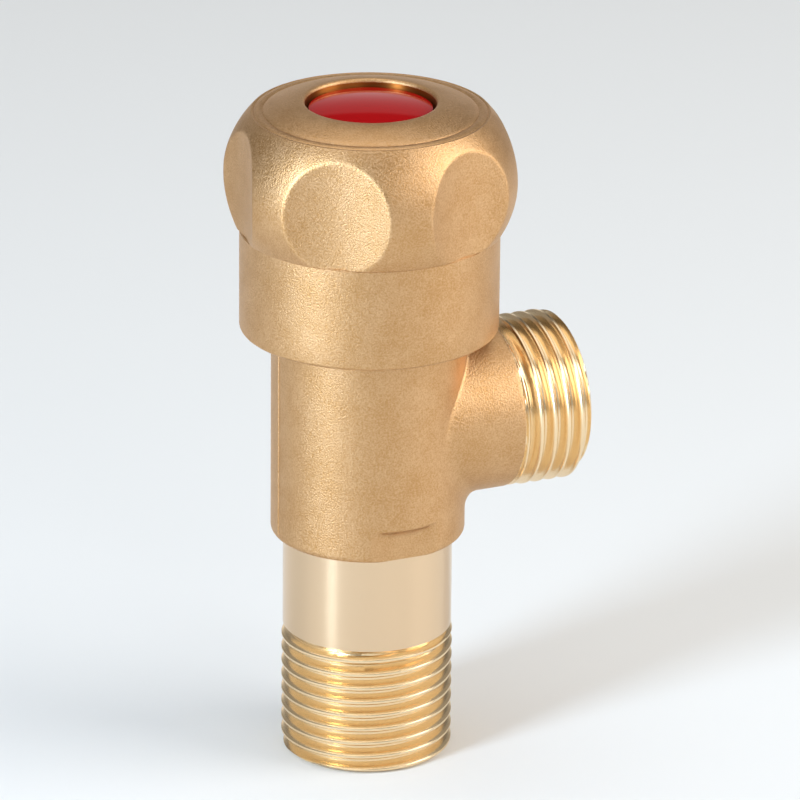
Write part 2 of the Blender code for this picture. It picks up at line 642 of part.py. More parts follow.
def wheel_profile():
    """The handwheel's turned section, anticlockwise from the hub's lower face."""
    roof = RECESS_FLOOR - ROOF_THICKNESS
    lip = WHEEL_LIP
    crown_edge = WHEEL_TOP - CROWN_DROP
    bulge_top = crown_edge - GROOVE_DEPTH
    steps = 10
    inside = [(SCREW_HOLE, HUB_BASE), (HUB_RADIUS, HUB_BASE), (HUB_RADIUS, roof),
              (SKIRT_BORE - ROOF_CORNER, roof), (SKIRT_BORE, roof - ROOF_CORNER),
              (SKIRT_BORE, SKIRT_BOTTOM)]
    outside = [(SKIRT_RADIUS - lip, SKIRT_BOTTOM), (SKIRT_RADIUS, SKIRT_BOTTOM + lip),
               (SKIRT_RADIUS, SKIRT_TOP)]
    for step in range(steps + 1):
        height = SKIRT_TOP + (bulge_top - SKIRT_TOP) * step / steps
        outside.append((bulge_radius(height), height))
    crown = [(CROWN_RADIUS + GROOVE_WIDTH / 2, bulge_top - GROOVE_DEPTH),
             (CROWN_RADIUS, bulge_top), (CROWN_RADIUS - lip, crown_edge),
             (RECESS_RADIUS + lip, WHEEL_TOP), (RECESS_RADIUS, WHEEL_TOP - lip),
             (RECESS_RADIUS, RECESS_FLOOR), (SCREW_HOLE, RECESS_FLOOR)]
    return inside + outside + crown


def scoop_mesh(centre):
    """A tall cutter with a round front, which hollows one scoop."""
    half_angle = 24                 # degrees, more than the scoop's edge needs
    steps = 8
    front = []
    for step in range(steps + 1):
        x, y = on_circle(SCOOP_ARC, 180 - half_angle + 2 * half_angle * step / steps)
        front.append((SCOOP_FLOOR + SCOOP_ARC + x, y))
    back = SCOOP_FLOOR + SCOOP_ARC
    outline = front + [(back, front[-1][1]), (back, front[0][1])]
    mesh = prism_mesh(outline, SKIRT_TOP + SCOOP_LEDGE, WHEEL_TOP + PAST)
    bmesh.ops.rotate(mesh, cent=(0, 0, 0), verts=mesh.verts,
                     matrix=Matrix.Rotation(math.radians(centre), 3, "Z"))
    return mesh


def make_handwheel(material):
    """The hollow handwheel with its scoops and splined hub."""
    wheel = turned("handwheel", wheel_profile(), material, 60)
    for scoop in range(SCOOP_COUNT):
        centre = SCOOP_START + 360 * scoop / SCOOP_COUNT
        cut(wheel, scoop_mesh(centre), f"scoop_cutter_{scoop}")
    socket = prism_mesh(spline_outline(SPLINE_RADIUS + GAP), HUB_BASE - PAST, WEB_BASE)
    cut(wheel, socket, "hub_socket")
    return wheel


def make_screw(material):
    """The pan-head screw that holds the handwheel, with its cross recess."""
    tip = SCREW_HEAD_BASE - SCREW_LENGTH
    chamfer = 0.5 * MM
    profile = [(0, tip), (SCREW_RADIUS - chamfer, tip), (SCREW_RADIUS, tip + chamfer),
               (SCREW_RADIUS, SCREW_HEAD_BASE), (SCREW_HEAD_RADIUS, SCREW_HEAD_BASE),
               (SCREW_HEAD_RADIUS, SCREW_HEAD_BASE + SCREW_HEAD_HEIGHT / 2),
               (SCREW_HEAD_RADIUS - chamfer, SCREW_HEAD_TOP - chamfer / 2),
               (SCREW_HEAD_RADIUS / 2, SCREW_HEAD_TOP), (0, SCREW_HEAD_TOP)]
    screw = turned("handwheel_screw", profile, material, 28, ring=False)
    blade = 0.9 * MM
    for size in ((SCREW_HEAD_RADIUS, blade), (blade, SCREW_HEAD_RADIUS)):
        recess = box_mesh(*size, SCREW_HEAD_TOP - SCREW_HEAD_HEIGHT / 2,
                          SCREW_HEAD_TOP + PAST)
        cut(screw, recess, "recess_cutter")
    return screw


def make_lock_washer(material):
    """The split washer under the screw's head."""
    ring = washer("screw_lock_washer", SCREW_HOLE, LOCK_WASHER_RADIUS, LOCK_WASHER_BASE,
                  LOCK_WASHER_THICKNESS, material, 32)
    split = box_mesh(2 * LOCK_WASHER_RADIUS, GAP * 2, LOCK_WASHER_BASE - PAST,
                     LOCK_WASHER_BASE + LOCK_WASHER_THICKNESS + PAST)
    bmesh.ops.translate(split, vec=(LOCK_WASHER_RADIUS, 0, 0), verts=split.verts)
    cut(ring, split, "washer_split")
    return ring


def make_index_button(material):
    """The domed cap pressed into the handwheel's recess, hollow below."""
    skirt_base = RECESS_FLOOR + GAP
    under = SCREW_HEAD_TOP + GAP
    inner = BUTTON_RADIUS - BUTTON_WALL
    edge = 0.5 * MM
    profile = [(0, under), (inner - edge, under), (inner, under - edge),
               (inner, skirt_base), (BUTTON_RADIUS - GAP, skirt_base),
               (BUTTON_RADIUS, skirt_base + edge), (BUTTON_RADIUS, BUTTON_EDGE)]
    steps = 6
    for step in range(1, steps + 1):
        share = 1 - step / steps
        profile.append((BUTTON_RADIUS * share,
                        BUTTON_EDGE + BUTTON_DOME * (1 - share ** 2)))
    return turned("index_button", profile, material, 40, ring=False)


def make_materials():
    """Every material of the valve, by name."""
    return {
        "brass": principled("brass", (0.60, 0.38, 0.17), 0.42, 1.0),
        "headwork_brass": principled("headwork_brass", (0.72, 0.50, 0.22), 0.28, 1.0),
        "steel": principled("steel", (0.62, 0.62, 0.62), 0.3, 1.0),
        "ceramic": principled("ceramic", (0.85, 0.84, 0.80), 0.2),
        "rubber": principled("rubber", (0.02, 0.02, 0.02), 0.7),
        "ptfe": principled("ptfe", (0.86, 0.86, 0.84), 0.5),
        "fibre": principled("fibre", (0.35, 0.06, 0.04), 0.7),
        "red_plastic": principled("red_plastic", (0.55, 0.02, 0.02), 0.12),
    }


def make_valve():
    """Make every piece and hang the turning ones on the handwheel's axis."""
    materials = make_materials()
    brass, headwork_brass = materials["brass"], materials["headwork_brass"]
    make_valve_body(brass)
    make_bonnet(headwork_brass)
    make_seals(materials["rubber"], materials["fibre"], materials["steel"])
    make_fixed_disc(materials["ceramic"])
    make_noise_damper(materials["ptfe"])

    turning = [
        make_moving_disc(materials["ceramic"]),
        make_spindle(headwork_brass),
        washer("thrust_washer", STEM_BORE, DISC_RADIUS, THRUST_WASHER_BASE,
               THRUST_WASHER_THICKNESS, materials["ptfe"]),
        make_stop_washer(headwork_brass),
        make_circlip(materials["steel"]),
        make_handwheel(brass),
        make_lock_washer(materials["steel"]),
        make_screw(materials["steel"]),
        make_index_button(materials["red_plastic"]),
    ]
    for place, height in zip(("lower", "upper"), O_RING_HEIGHTS):
        turning.append(make_o_ring(f"spindle_o_ring_{place}", BONNET_CEILING + height,
                                   materials["rubber"]))

    axis = bpy.data.objects.new("handwheel_axis", None)
    bpy.context.scene.collection.objects.link(axis)
    for piece in turning:
        piece.parent = axis


def main():
    """Empty the scene and build the valve."""
    for leftover in list(bpy.data.objects):
        bpy.data.objects.remove(leftover, do_unlink=True)
    make_valve()


main()
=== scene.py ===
"""Finished look of an angle stop valve with a dimpled handwheel.

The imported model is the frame. This add-on makes the surfaces that show on it: the
sandblasted forging, the two bright threaded ends, the handwheel and its red index
button. The pieces of the headwork inside keep their shapes and get their finishes.
"""

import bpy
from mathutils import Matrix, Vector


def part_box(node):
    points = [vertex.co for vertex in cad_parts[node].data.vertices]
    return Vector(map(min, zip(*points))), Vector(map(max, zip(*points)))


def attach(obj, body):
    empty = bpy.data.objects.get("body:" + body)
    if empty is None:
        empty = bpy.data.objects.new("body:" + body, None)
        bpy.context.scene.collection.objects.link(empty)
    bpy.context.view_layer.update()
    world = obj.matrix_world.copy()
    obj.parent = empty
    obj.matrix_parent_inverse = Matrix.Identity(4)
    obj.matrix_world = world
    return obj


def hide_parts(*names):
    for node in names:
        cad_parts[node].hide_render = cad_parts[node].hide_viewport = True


bl_info = {
    "name": "Angle stop valve",
    "version": (1, 0, 0),
    "blender": (4, 5, 0),
    "location": "3D View > Sidebar > Valve",
    "description": "Makes the finished surfaces, materials and studio of an angle stop valve",
    "category": "Add Mesh",
}

import math

import bmesh
import bpy
import numpy as np
from bpy.props import (FloatProperty, FloatVectorProperty, IntProperty,
                       PointerProperty)
from bpy.types import Operator, Panel, PropertyGroup
from mathutils import Matrix, Vector

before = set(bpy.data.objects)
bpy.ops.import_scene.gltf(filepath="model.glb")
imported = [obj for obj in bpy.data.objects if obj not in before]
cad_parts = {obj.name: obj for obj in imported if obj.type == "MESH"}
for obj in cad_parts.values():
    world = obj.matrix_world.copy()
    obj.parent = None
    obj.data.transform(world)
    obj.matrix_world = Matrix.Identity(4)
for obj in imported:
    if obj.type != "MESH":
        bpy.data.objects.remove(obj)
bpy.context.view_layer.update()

MM = 0.001
FIXED, TURNING = "fixed_body", "turning_body"

BODY_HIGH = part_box("valve_body")[1]
WHEEL_LOW, WHEEL_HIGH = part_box("handwheel")
BUTTON_LOW, BUTTON_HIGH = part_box("index_button")
BONNET_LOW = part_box("headwork_bonnet")[0]

CLEARANCE = 0.3 * MM     # from a finished piece to the piece it fits round


def linear(code):
    """Linear RGB of an sRGB hex colour."""
    channels = [int(code[start:start + 2], 16) / 255 for start in (0, 2, 4)]
    return tuple(c / 12.92 if c <= 0.04045 else ((c + 0.055) / 1.055) ** 2.4
                 for c in channels)


def length(name, size, description):
    """A length property whose default is a size in metres."""
    return FloatProperty(name=name, description=description, default=size,
                         unit="LENGTH", precision=5)


# --- Sizes and colours that a user would change ----------------------------------

class ThreadSettings(PropertyGroup):
    """The G 1/2 pipe thread on both ends."""

    major_radius: length("Major radius", 20.955 / 2 * MM, "Radius over the crests")
    depth: length("Depth", 1.162 * MM, "From crest to root")
    pitch: length("Pitch", 1.814 * MM, "From one crest to the next")
    run_out: length("Run-out", 0.55 * MM, "Length over which the root rises to the bar")
    segments: IntProperty(name="Segments", description="Steps round one turn",
                          default=192, min=24)
    rows: IntProperty(name="Rows", description="Steps across one pitch", default=14,
                      min=6)


class BodySettings(PropertyGroup):
    """The forged body and its two machined ends."""

    barrel_radius: length("Barrel radius", 11.85 * MM, "Outside of the barrel")
    barrel_bottom: length("Barrel bottom", 28.4 * MM, "Height of the barrel's edge")
    barrel_edge: length("Barrel edge", 0.6 * MM, "Rounding of the lower edge")
    branch_radius: length("Branch radius", 10.4 * MM, "Outside of the side branch")
    branch_reach: length("Branch reach", 16.4 * MM, "End of the blasted branch")
    branch_height: length("Branch height", 42.3 * MM, "Height of the outlet's axis")
    fillet: length("Fillet", 1.7 * MM, "Forged fillet under the branch")
    crease: length("Crease", 0.15 * MM, "Forged fillet over the branch")
    flat_depth: length("Flat depth", 0.85 * MM, "How deep each wrench flat is cut")
    flat_height: length("Flat height", 4.0 * MM, "Height of each wrench flat")
    bore: length("Bore", 7.0 * MM, "Radius of both waterways")
    shank_radius: length("Shank radius", 10.35 * MM, "The bright bar above the thread")
    inlet_thread: length("Inlet thread", 16.2 * MM, "Length of the inlet's thread")
    inlet_end: length("Inlet end", 9.9 * MM, "Radius where the inlet's chamfer starts")
    inlet_start: FloatProperty(name="Inlet start", default=math.radians(-8),
                               description="Where the thread starts", subtype="ANGLE")
    band_radius: length("Band radius", 10.25 * MM, "The bright band behind the outlet")
    outlet_thread: length("Outlet thread", 9.2 * MM, "Length of the outlet's thread")
    outlet_end: length("Outlet end", 9.25 * MM, "Radius where the outlet's chamfer starts")
    outlet_start: FloatProperty(name="Outlet start", default=math.radians(133),
                                description="Where the thread starts", subtype="ANGLE")
    voxel: length("Voxel", 0.27 * MM, "Spacing of the forging's mesh")


class WheelSettings(PropertyGroup):
    """The handwheel."""

    top: length("Top", WHEEL_HIGH[2], "Height of the rim")
    bottom: length("Bottom", WHEEL_LOW[2], "Height of the skirt's edge")
    bulge_radius: length("Bulge radius", 17.75 * MM, "Its widest place")
    bulge_drop: length("Bulge drop", 9.7 * MM, "The widest place, below the rim")
    bulge_length: length("Bulge length", 15.9 * MM, "From the rim to the skirt")
    bulge_arc: length("Bulge arc", 12.0 * MM, "Radius of the bulge's own curve")
    skirt_radius: length("Skirt radius", 15.7 * MM, "Outside of the skirt")
    skirt_bore: length("Skirt bore", 13.2 * MM, "Inside of the skirt")
    crown_radius: length("Crown radius", 14.05 * MM, "The groove round the crown")
    bead_width: length("Bead width", 1.15 * MM, "From the groove in to the scored line")
    lip: length("Lip", 0.4 * MM, "Rounding of the opening's edge")
    crown_drop: length("Crown drop", 1.2 * MM, "Fall from the rim to the crown's edge")
    recess_radius: length("Recess radius", 7.9 * MM, "Opening for the index button")
    scoop_arc: length("Scoop arc", 22.0 * MM, "Radius that each scoop is hollowed with")
    scoop_depth: length("Scoop depth", 2.25 * MM, "Depth of each scoop")
    scoop_edge: length("Scoop edge", 0.2 * MM, "Rounding of each scoop's edge")
    scoops: IntProperty(name="Scoops", description="Scoops round the wheel", default=6,
                        min=3)
    scoop_start: FloatProperty(name="Scoop start", default=math.radians(-7.6),
                               description="Angle of the first scoop", subtype="ANGLE")
    segments: IntProperty(name="Segments", description="Steps round the wheel",
                          default=576, min=72)


class ButtonSettings(PropertyGroup):
    """The red index button."""

    radius: length("Radius", 7.45 * MM, "Outside of the cap")
    edge: length("Edge", BUTTON_HIGH[2] - 0.4 * MM, "Height of the dome's edge")
    dome: length("Dome", 0.5 * MM, "Rise of the dome")
    segments: IntProperty(name="Segments", description="Steps round the cap",
                          default=144, min=24)


def shade(name, code, description):
    """A colour property whose default is an sRGB hex colour."""
    return FloatVectorProperty(name=name, description=description, subtype="COLOR",
                               size=3, min=0, max=1, default=linear(code))


class FinishSettings(PropertyGroup):
    """Colours of the finishes."""

    blasted: shade("Blasted brass", "D6AE82", "Sandblasted forging brass")
    blasted_dark: shade("Blasted brass, dark", "C0935F", "Its darker mottling")
    turned: shade("Turned brass", "E6C9A6", "Bright turned shank")
    thread: shade("Thread brass", "F4D9AF", "Cut thread")
    headwork: shade("Headwork brass", "DDB36C", "Turned pieces inside")
    # The recess colour is darkened as painted shade for the inside of the button's recess;
    # the brass there is turned, not blasted.
    recess: shade("Recess brass", "A5642C", "The button's recess: unblasted brass, darkened as painted shade")
    red: shade("Index red", "A8070C", "Moulded index button")
    floor: shade("Floor", "E8E8E6", "Studio floor")


class StageSettings(PropertyGroup):
    """Camera and light."""

    azimuth: FloatProperty(name="Azimuth", default=math.radians(-23.9), subtype="ANGLE",
                           description="Camera's turn about the valve axis")
    elevation: FloatProperty(name="Elevation", default=math.radians(21.62),
                             subtype="ANGLE", description="Camera's height angle")
    roll: FloatProperty(name="Roll", default=math.radians(0.45), subtype="ANGLE",
                        description="Camera's turn about its own view")
    distance: length("Distance", 829 * MM, "From the camera to the valve")
    aim_height: length("Aim height", 43.53 * MM, "Height on the valve axis it looks at")
    lens: FloatProperty(name="Lens", default=307.4, description="Focal length",
                        unit="CAMERA")
    shift_x: FloatProperty(name="Shift across", default=0.0395,
                           description="Sideways shift, as a share of the frame")
    shift_y: FloatProperty(name="Shift up", default=0.0142,
                           description="Upward shift, as a share of the frame")


class ValveSettings(PropertyGroup):
    """All settings of the valve."""

    thread: PointerProperty(type=ThreadSettings)
    body: PointerProperty(type=BodySettings)
    wheel: PointerProperty(type=WheelSettings)
    button: PointerProperty(type=ButtonSettings)
    finish: PointerProperty(type=FinishSettings)
    stage: PointerProperty(type=StageSettings)


# --- Nodes -----------------------------------------------------------------------

def add_node(tree, kind, inputs=None, **settings):
    """Add a node with its settings, and fill its inputs with values or links."""
    node = tree.nodes.new(kind)
    for name, value in settings.items():
        setattr(node, name, value)
    for name, value in (inputs or {}).items():
        if isinstance(value, bpy.types.NodeSocket):
            tree.links.new(value, node.inputs[name])
        else:
            node.inputs[name].default_value = value
    return node


def new_material(name):
    """An empty node material and its Principled shader, wired to the output."""
    material = bpy.data.materials.new(name)
    material.use_nodes = True
    tree = material.node_tree
    tree.nodes.clear()
    shader = add_node(tree, "ShaderNodeBsdfPrincipled")
    add_node(tree, "ShaderNodeOutputMaterial", {"Surface": shader.outputs["BSDF"]})
    return material, tree, shader


def sandblasted_brass(name, light, dark):
    """Forging brass blasted with grit: a matt, faintly sparkling, mottled tan.

    The grit leaves pits of about 0.1 mm, which are drawn twice as coarse so that they
    show, over wider clouds where the blast was uneven.
    """
    grit = 0.22 * MM
    pit_depth = 0.055 * MM
    mottle = 3.5 * MM
    pits_over_mottle = 2.4
    material, tree, shader = new_material(name)
    place = add_node(tree, "ShaderNodeTexCoord").outputs["Object"]
    pits = add_node(tree, "ShaderNodeTexNoise", {"Vector": place, "Scale": 1 / grit,
                                                 "Detail": 2.0, "Roughness": 0.6})
    cloud = add_node(tree, "ShaderNodeTexNoise", {"Vector": place, "Scale": 1 / mottle,
                                                  "Detail": 4.0, "Roughness": 0.6})
    blend = add_node(tree, "ShaderNodeMath", {0: pits.outputs["Fac"],
                                              1: pits_over_mottle,
                                              2: cloud.outputs["Fac"]},
                     operation="MULTIPLY_ADD")
    tone = add_node(tree, "ShaderNodeMapRange", {"Value": blend.outputs[0],
                                                 "From Min": 1.25, "From Max": 2.15})
    colour = add_node(tree, "ShaderNodeMix", {"Factor": tone.outputs["Result"],
                                              "A": (*dark, 1), "B": (*light, 1)},
                      data_type="RGBA")
    matt = add_node(tree, "ShaderNodeMapRange", {"Value": pits.outputs["Fac"],
                                                 "From Min": 0.3, "From Max": 0.7,
                                                 "To Min": 0.36, "To Max": 0.52})
    bump = add_node(tree, "ShaderNodeBump", {"Height": pits.outputs["Fac"],
                                             "Strength": 1.0, "Distance": pit_depth})
    tree.links.new(colour.outputs["Result"], shader.inputs["Base Color"])
    tree.links.new(matt.outputs["Result"], shader.inputs["Roughness"])
    tree.links.new(bump.outputs["Normal"], shader.inputs["Normal"])
    shader.inputs["Metallic"].default_value = 1.0
    return material


def turned_brass(name, base, axis, roughness):
    """Lathe-turned brass: bright, with fine rings round the turning axis.

    A fine cut feeds 0.05 mm a turn, drawn at 0.12 mm so that its sheen shows.
    """
    feed = 0.12 * MM
    ring_depth = 0.01 * MM
    drawn_out = 0.02
    material, tree, shader = new_material(name)
    place = add_node(tree, "ShaderNodeTexCoord").outputs["Object"]
    squash = [drawn_out] * 3
    squash[axis] = 1.0
    along = add_node(tree, "ShaderNodeMapping", {"Vector": place, "Scale": squash})
    rings = add_node(tree, "ShaderNodeTexNoise", {"Vector": along.outputs["Vector"],
                                                  "Scale": 1 / feed, "Detail": 2.0})
    tint = add_node(tree, "ShaderNodeMapRange", {"Value": rings.outputs["Fac"],
                                                 "To Min": 0.96, "To Max": 1.02})
    colour = add_node(tree, "ShaderNodeVectorMath",
                      {0: base, "Scale": tint.outputs["Result"]}, operation="SCALE")
    gloss = add_node(tree, "ShaderNodeMapRange", {"Value": rings.outputs["Fac"],
                                                  "To Min": roughness * 0.8,
                                                  "To Max": roughness * 1.25})
    bump = add_node(tree, "ShaderNodeBump", {"Height": rings.outputs["Fac"],
                                             "Strength": 0.06, "Distance": ring_depth})
    along_axis = [0.0] * 3
    along_axis[axis] = 1.0
    streak = add_node(tree, "ShaderNodeCombineXYZ", dict(zip("XYZ", along_axis)))
    tree.links.new(streak.outputs["Vector"], shader.inputs["Tangent"])
    shader.inputs["Anisotropic"].default_value = 0.85
    tree.links.new(colour.outputs["Vector"], shader.inputs["Base Color"])
    tree.links.new(gloss.outputs["Result"], shader.inputs["Roughness"])
    tree.links.new(bump.outputs["Normal"], shader.inputs["Normal"])
    shader.inputs["Metallic"].default_value = 1.0
    return material


def plain_finish(name, base, roughness, grain, metallic=0.0):
    """A moulded, pressed, lapped or die-cut surface: one colour, faintly uneven."""
    material, tree, shader = new_material(name)
    place = add_node(tree, "ShaderNodeTexCoord").outputs["Object"]
    uneven = add_node(tree, "ShaderNodeTexNoise", {"Vector": place, "Scale": 1 / grain,
                                                   "Detail": 2.0})
    tint = add_node(tree, "ShaderNodeMapRange", {"Value": uneven.outputs["Fac"],
                                                 "To Min": 0.94, "To Max": 1.05})
    colour = add_node(tree, "ShaderNodeVectorMath",
                      {0: base, "Scale": tint.outputs["Result"]}, operation="SCALE")
    tree.links.new(colour.outputs["Vector"], shader.inputs["Base Color"])
    shader.inputs["Metallic"].default_value = metallic
    shader.inputs["Roughness"].default_value = roughness
    return material


def spring_steel(name):
    """Stamped stainless steel: grey, with a fine rolled grain."""
    grain_width = 0.2 * MM
    material, tree, shader = new_material(name)
    place = add_node(tree, "ShaderNodeTexCoord").outputs["Object"]
    along = add_node(tree, "ShaderNodeMapping", {"Vector": place,
                                                 "Scale": (1.0, 0.08, 1.0)})
    grain = add_node(tree, "ShaderNodeTexNoise", {"Vector": along.outputs["Vector"],
                                                  "Scale": 1 / grain_width})
    gloss = add_node(tree, "ShaderNodeMapRange", {"Value": grain.outputs["Fac"],
                                                  "To Min": 0.22, "To Max": 0.42})
    tree.links.new(gloss.outputs["Result"], shader.inputs["Roughness"])
    shader.inputs["Base Color"].default_value = (*linear("C9C8C4"), 1)
    shader.inputs["Metallic"].default_value = 1.0
    return material


# --- Mesh code -------------------------------------------------------------------

SAME_POINT = 1e-7


def finished(name, mesh, material, body, nodes, sharp=30):
    """Make a mesh a piece that rides on a body and stands for CAD nodes."""
    mesh.name = name
    mesh.shade_smooth()
    mesh.set_sharp_from_angle(angle=math.radians(sharp))
    mesh.materials.clear()
    mesh.materials.append(material)
    piece = bpy.data.objects.new(name, mesh)
    bpy.context.scene.collection.objects.link(piece)
    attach(piece, body)
    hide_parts(*nodes)
    return piece


def skin(rings, closed):
    """Quads between successive rings of points, and from the last ring to the first
    where the section is a closed loop."""
    rings = np.asarray(rings)
    count, segments = rings.shape[:2]
    index = np.arange(count * segments).reshape(count, segments)
    after = np.roll(index, -1, axis=1)
    here, there = (index, np.roll(index, -1, axis=0)) if closed else (index[:-1], index[1:])
    beside, opposite = (after, np.roll(after, -1, axis=0)) if closed else (after[:-1],
                                                                           after[1:])
    faces = np.stack([here, beside, opposite, there], axis=-1).reshape(-1, 4)
    return rings.reshape(-1, 3), faces


def build_mesh(name, points, faces):
    """A mesh with its doubles merged and its faces pointing outwards."""
    mesh = bpy.data.meshes.new(name)
    mesh.from_pydata(points.tolist(), [], faces.tolist())
    shape = bmesh.new()
    shape.from_mesh(mesh)
    bmesh.ops.remove_doubles(shape, verts=shape.verts, dist=SAME_POINT)
    bmesh.ops.recalc_face_normals(shape, faces=shape.faces)
    shape.to_mesh(mesh)
    shape.free()
    return mesh


def ring(radius, height, angles):
    """Points round the valve axis. The radius may vary with the angle."""
    return np.stack([radius * np.cos(angles), radius * np.sin(angles),
                     np.full_like(angles, height)], axis=-1)


def arc(centre, radius, start, end, steps):
    """Points of a round corner in a section, with its angles in degrees."""
    angles = np.radians(np.linspace(start, end, steps))
    return [(centre[0] + radius * math.cos(a), centre[1] + radius * math.sin(a))
            for a in angles]


def to_outlet(mesh, reach, height):
    """Lay an end that rises from its face at height 0 along the outlet instead."""
    turn = Matrix.Rotation(math.radians(-90), 4, "Y")
    mesh.transform(Matrix.Translation((reach, 0, height)) @ turn)


# --- Threaded ends ---------------------------------------------------------------

THREAD_INPUTS = ("Major Radius", "Depth", "Pitch", "Length", "Bar Radius", "End Radius",
                 "Run Out", "Start", "Segments", "Turns", "Rows")
LEAD_TURNS = 2
WELD = 0.002 * MM
CREST_FADE = 0.9 * MM      # where the last crest sinks into the bar
SLOW_RUN_OUT = 5 * MM      # the root's shallow rise before the run-out
SLOW_DEPTH = 0.55          # its depth at the thread's end, as a share
END_SLOPE = 1.6            # of the end's chamfer
LEAD_SLOPE = -1.0          # of the root behind the chamfer

# Each step is one Math node: its result's name, its operation and its terms.
# "v" runs across one pitch with the crest in the middle, as a long helical ribbon.
THREAD_STEPS = (
    ("per column", "ADD", "Rows", 1.0),
    ("column share", "DIVIDE", "index", "per column"),
    ("column", "FLOOR", "column share"),
    ("v rows", "MODULO", "index", "per column"),
    ("v", "DIVIDE", "v rows", "Rows"),
    ("turn", "DIVIDE", "column", "Segments"),
    ("angle", "MULTIPLY_ADD", "turn", math.tau, "Start"),
    ("pitches", "ADD", "turn", "v"),
    ("pitches up", "SUBTRACT", "pitches", float(LEAD_TURNS)),
    ("z", "MULTIPLY", "pitches up", "Pitch"),
    ("above face", "MAXIMUM", "z", 0.0),
    ("height", "MINIMUM", "above face", "Length"),
    ("to end", "SUBTRACT", "Length", "height"),
    ("from crest", "SUBTRACT", "v", 0.5),
    ("off crest", "ABSOLUTE", "from crest"),
    ("fade", "DIVIDE", "to end", CREST_FADE),
    ("faded", "MINIMUM", "fade", 1.0),
    ("cone share", "DIVIDE", "to end", "Run Out"),
    ("root radius", "SUBTRACT", "Major Radius", "Depth"),
    ("cone drop", "SUBTRACT", "Bar Radius", "root radius"),
    ("cone step", "MULTIPLY", "cone share", "cone drop"),
    ("steep cone", "SUBTRACT", "Bar Radius", "cone step"),
    ("slow share", "MULTIPLY_ADD", "to end", 1 / SLOW_RUN_OUT, SLOW_DEPTH),
    ("slow step", "MULTIPLY", "slow share", "cone drop"),
    ("slow cone", "SUBTRACT", "Bar Radius", "slow step"),
    ("cone", "MAXIMUM", "steep cone", "slow cone"),
    ("chamfer", "MULTIPLY_ADD", "height", END_SLOPE, "End Radius"),
    ("lead cone", "MULTIPLY_ADD", "height", LEAD_SLOPE, "End Radius"),
)


def thread_tree():
    """Geometry nodes that make the skin of a right-hand male thread.

    A grid is wound into a helical ribbon one pitch wide, whose turns meet edge to
    edge. What would lie below the end face or above the thread's length shrinks on to
    a plain circle there, so the skin joins a turned bar at both ends.
    """
    tree = bpy.data.node_groups.new("male_thread", "GeometryNodeTree")
    for name in THREAD_INPUTS:
        kind = "Int" if name in ("Segments", "Turns", "Rows") else "Float"
        tree.interface.new_socket(name, in_out="INPUT", socket_type=f"NodeSocket{kind}")
    tree.interface.new_socket("Material", in_out="INPUT",
                              socket_type="NodeSocketMaterial")
    tree.interface.new_socket("Geometry", in_out="OUTPUT",
                              socket_type="NodeSocketGeometry")
    given = add_node(tree, "NodeGroupInput").outputs
    values = {name: given[name] for name in THREAD_INPUTS}
    values["index"] = add_node(tree, "GeometryNodeInputIndex").outputs[0]
    for result, operation, *terms in THREAD_STEPS:
        node = add_node(tree, "ShaderNodeMath", operation=operation,
                        inputs={i: values.get(term, term)
                                for i, term in enumerate(terms)})
        values[result] = node.outputs[0]

    form = add_node(tree, "ShaderNodeMapRange", {"Value": values["off crest"],
                                                 "From Min": 0.43, "From Max": 0.07},
                    interpolation_type="SMOOTHSTEP")
    late_steps = (
        ("form", "MULTIPLY", form.outputs["Result"], values["faded"]),
        ("cut", "MULTIPLY_ADD", "form", values["Depth"], values["root radius"]),
        ("run out", "MAXIMUM", "cut", values["cone"]),
        ("led in", "MAXIMUM", "run out", values["lead cone"]),
        ("radius", "MINIMUM", "led in", values["chamfer"]),
        ("cosine", "COSINE", values["angle"]),
        ("sine", "SINE", values["angle"]),
        ("x", "MULTIPLY", "radius", "cosine"),
        ("y", "MULTIPLY", "radius", "sine"),
        ("columns", "MULTIPLY_ADD", values["Segments"], values["Turns"], 1.0),
    )
    for result, operation, *terms in late_steps:
        inputs = {i: values[term] if isinstance(term, str) else term
                  for i, term in enumerate(terms)}
        values[result] = add_node(tree, "ShaderNodeMath", inputs,
                                  operation=operation).outputs[0]
    place = add_node(tree, "ShaderNodeCombineXYZ", {"X": values["x"], "Y": values["y"],
                                                    "Z": values["height"]})
    grid = add_node(tree, "GeometryNodeMeshGrid", {"Vertices X": values["columns"],
                                                   "Vertices Y": values["per column"]})
    wound = add_node(tree, "GeometryNodeSetPosition", {"Geometry": grid.outputs["Mesh"],
                                                       "Position": place.outputs[0]})
    welded = add_node(tree, "GeometryNodeMergeByDistance",
                      {"Geometry": wound.outputs["Geometry"], "Distance": WELD})
    real = add_node(tree, "GeometryNodeRealizeInstances",
                    {"Geometry": welded.outputs["Geometry"]})
    shaded = add_node(tree, "GeometryNodeSetMaterial",
                      {"Geometry": real.outputs["Geometry"], "Material": given["Material"]})
    add_node(tree, "NodeGroupOutput", {"Geometry": shaded.outputs["Geometry"]})
    return tree


def evaluated_mesh(holder):
    """The plain mesh that an object's modifiers make. The object is removed."""
    graph = bpy.context.evaluated_depsgraph_get()
    mesh = bpy.data.meshes.new_from_object(holder.evaluated_get(graph))
    bpy.data.objects.remove(holder, do_unlink=True)
    return mesh


